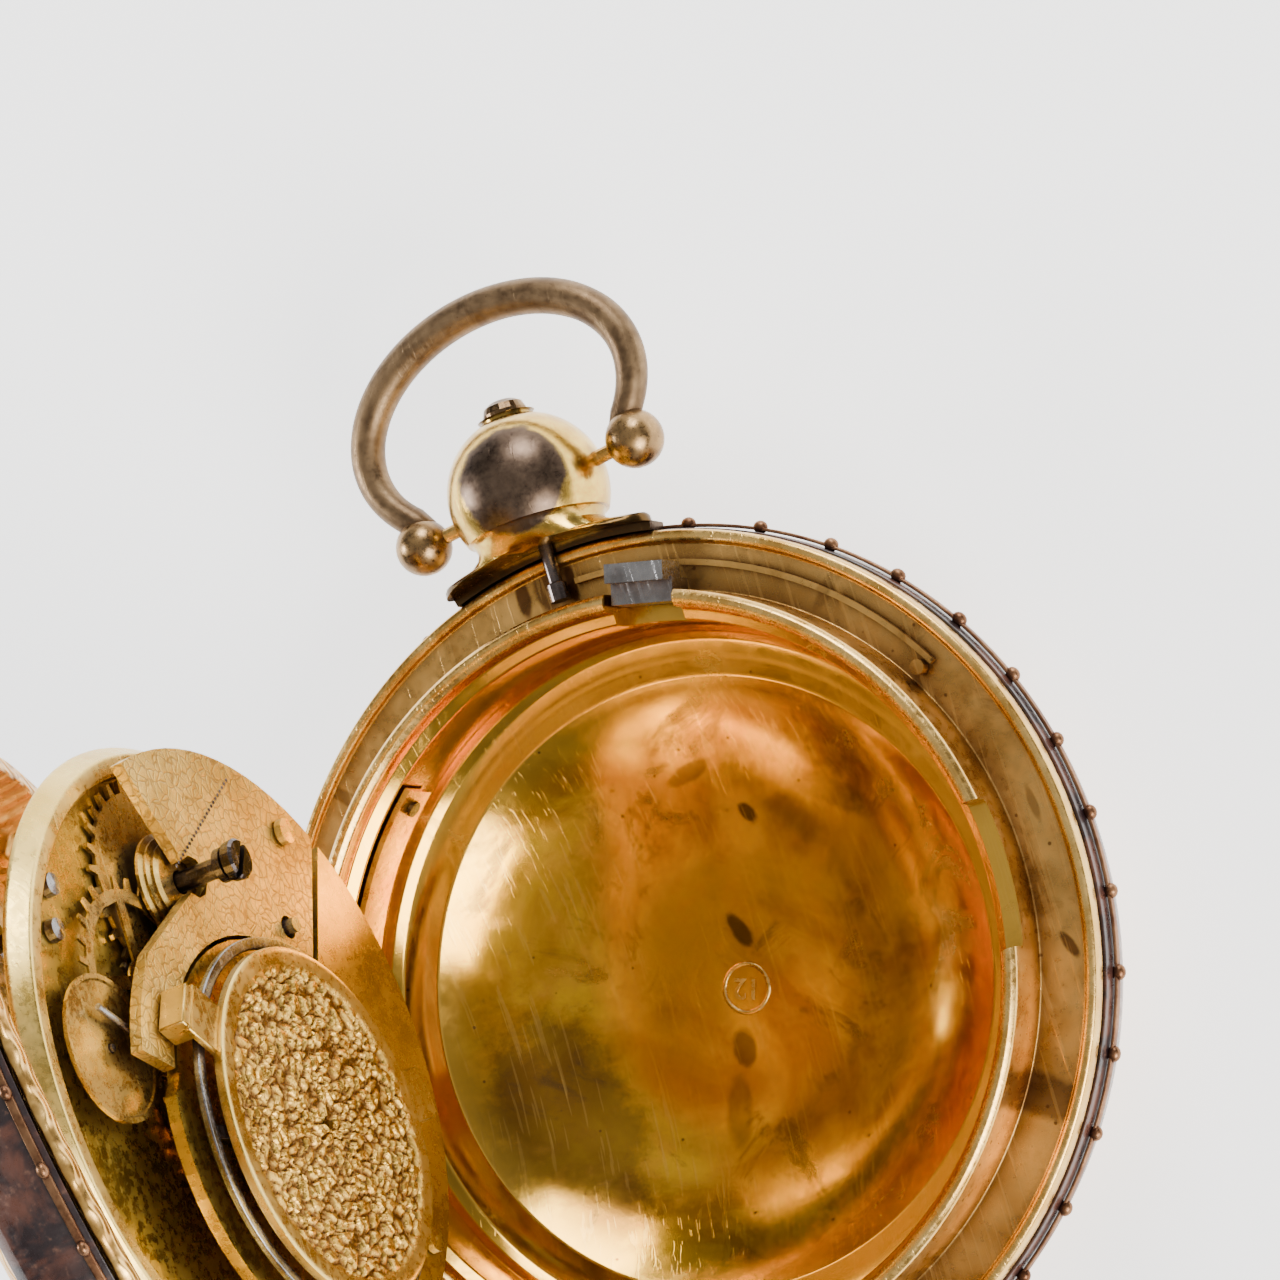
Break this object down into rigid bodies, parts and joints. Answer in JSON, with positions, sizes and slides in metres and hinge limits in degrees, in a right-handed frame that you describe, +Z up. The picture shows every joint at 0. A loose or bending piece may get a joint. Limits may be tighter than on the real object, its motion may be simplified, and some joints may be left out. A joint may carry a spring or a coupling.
{
  "type": "hunter pocket watch",
  "caption": "Antique hunter pocket watch lying open on its back: bowl case with pendant and bow, swing-out verge movement with pierced balance cock, and a hinged studded front lid.",
  "frame": {"origin": "centre of the flat of the back, on the surface the watch lies on", "axes": "+Z up out of the open case towards the watch's front, +Y towards the pendant at 12 o'clock, +X towards 3 o'clock; the lid and the movement hinge on the -X side"},
  "size_m": [0.0598, 0.0725, 0.0636],
  "materials": {
    "gilt_brass": "gilt, worn, satin to polished",
    "pale_gilt": "pale gilt, engraved, satin",
    "dark_gilt": "dark olive gilt, polished",
    "tarnished_brass": "tarnished brown-grey brass",
    "tortoiseshell": "dark purple-brown covering, semi-gloss",
    "stud_brass": "small dark brass studs",
    "steel": "bright steel",
    "dark_steel": "dark polished steel",
    "blued_steel": "blued steel",
    "enamel": "white enamel, glossy",
    "crystal": "clear, polished"
  },
  "bodies": {
    "case": {"case_body": "gilt_brass", "back_shell": "gilt_brass", "back_covering": "tortoiseshell", "back_studs": "stud_brass", "pendant": "gilt_brass", "bow_pin_left": "gilt_brass", "bow_pin_right": "gilt_brass", "lock_spring": "steel", "lock_spring_rivet": "steel", "fly_spring": "gilt_brass", "fly_spring_screw": "dark_steel", "movement_hinge_case": "gilt_brass", "movement_hinge_pin": "steel", "lid_hinge_case": "tarnished_brass", "lid_hinge_pin": "steel"},
    "lid": {"front_lid": "gilt_brass", "lid_covering": "tortoiseshell", "lid_studs": "stud_brass", "lid_claw_ring": "pale_gilt", "lid_crystal": "crystal", "lid_hinge_leaf": "tarnished_brass"},
    "movement": {"pillar_plate": "pale_gilt", "barrel_bridge": "pale_gilt", "top_plate": "dark_gilt", "balance_cock": "pale_gilt", "pillar_north": "gilt_brass", "pillar_west": "gilt_brass", "pillar_south": "gilt_brass", "bridge_screw": "pale_gilt", "plate_screw": "pale_gilt", "edge_screw": "steel", "edge_screw_low": "steel", "barrel_arbor": "steel", "dial": "enamel", "hairspring": "blued_steel", "movement_hinge_leaf": "pale_gilt"},
    "bow": {"bow": "tarnished_brass"},
    "button": {"pendant_button": "tarnished_brass"},
    "catch": {"lid_catch": "steel"},
    "balance": {"balance_wheel": "steel", "balance_staff": "steel"},
    "centre_arbor": {"centre_pinion": "steel", "centre_wheel": "gilt_brass", "cannon_pinion": "steel", "minute_hand": "blued_steel"},
    "hour_pipe": {"hour_wheel": "gilt_brass", "hour_hand": "blued_steel"},
    "fusee_arbor": {"winding_arbor": "dark_steel", "fusee_wheel": "gilt_brass", "fusee": "gilt_brass"},
    "barrel": {"mainspring_barrel": "gilt_brass"},
    "third_arbor": {"third_pinion": "steel", "third_wheel": "gilt_brass"},
    "contrate_arbor": {"contrate_pinion": "steel", "contrate_wheel": "gilt_brass"},
    "crown_arbor": {"crown_wheel": "steel"}
  },
  "joints": [
    {"name": "movement_hinge", "type": "hinge", "parent": "case", "child": "movement", "pos_m": [-0.02104, 0, 0.0143], "axis": [0, 1, 0], "range_deg": [0, 91.6]},
    {"name": "lid_hinge", "type": "hinge", "parent": "case", "child": "lid", "pos_m": [-0.02659, -0.00469, 0.011], "axis": [-0.1736, 0.9848, 0], "range_deg": [0, 75.55]},
    {"name": "bow_swing", "type": "hinge", "parent": "case", "child": "bow", "pos_m": [0, 0.0298, 0.0113], "axis": [0.9962, 0.0872, 0], "range_deg": [-50, 85]},
    {"name": "button_press", "type": "slide", "parent": "case", "child": "button", "axis": [0, -1, 0], "range_m": [0, 0.0005], "stiffness_N_per_m": 400, "springref_m": -0.0003},
    {"name": "catch_slide", "type": "slide", "parent": "case", "child": "catch", "axis": [-0.2672, -0.9636, 0], "range_m": [0, 0.0005], "stiffness_N_per_m": 200},
    {"name": "balance_swing", "type": "hinge", "parent": "movement", "child": "balance", "pos_m": [-0.01332, -0.0043, 0.03416], "axis": [-0.9996, 0, -0.0279], "range_deg": [-140, 140], "stiffness_Nm_per_rad": 0.000002},
    {"name": "centre_turn", "type": "hinge", "parent": "movement", "child": "centre_arbor", "pos_m": [-0.01833, 0, 0.03542], "axis": [-0.9996, 0, -0.0279], "continuous": true},
    {"name": "hour_turn", "type": "hinge", "parent": "movement", "child": "hour_pipe", "pos_m": [-0.01933, 0, 0.0354], "axis": [-0.9996, 0, -0.0279], "continuous": true},
    {"name": "fusee_turn", "type": "hinge", "parent": "movement", "child": "fusee_arbor", "pos_m": [-0.01537, 0.0108, 0.03711], "axis": [-0.9996, 0, -0.0279], "continuous": true},
    {"name": "barrel_turn", "type": "hinge", "parent": "movement", "child": "barrel", "pos_m": [-0.01573, 0.0079, 0.02829], "axis": [-0.9996, 0, -0.0279], "continuous": true},
    {"name": "third_turn", "type": "hinge", "parent": "movement", "child": "third_arbor", "pos_m": [-0.01672, 0.0053, 0.04226], "axis": [-0.9996, 0, -0.0279], "continuous": true},
    {"name": "contrate_turn", "type": "hinge", "parent": "movement", "child": "contrate_arbor", "pos_m": [-0.01669, 0.00141, 0.04825], "axis": [-0.9996, 0, -0.0279], "continuous": true},
    {"name": "crown_turn", "type": "hinge", "parent": "movement", "child": "crown_arbor", "pos_m": [-0.01561, -0.0031, 0.0364], "axis": [-0.0248, 0.4617, 0.8867], "continuous": true}
  ],
  "couplings": [
    {"joint": "lid_hinge", "follows": "movement_hinge", "ratio": 0.8242},
    {"joint": "catch_slide", "follows": "button_press", "ratio": 1},
    {"joint": "hour_turn", "follows": "centre_turn", "ratio": 0.083333},
    {"joint": "fusee_turn", "follows": "centre_turn", "ratio": -0.73333},
    {"joint": "barrel_turn", "follows": "centre_turn", "ratio": -0.45},
    {"joint": "third_turn", "follows": "centre_turn", "ratio": -5.8333},
    {"joint": "contrate_turn", "follows": "centre_turn", "ratio": 27.222}
  ]
}
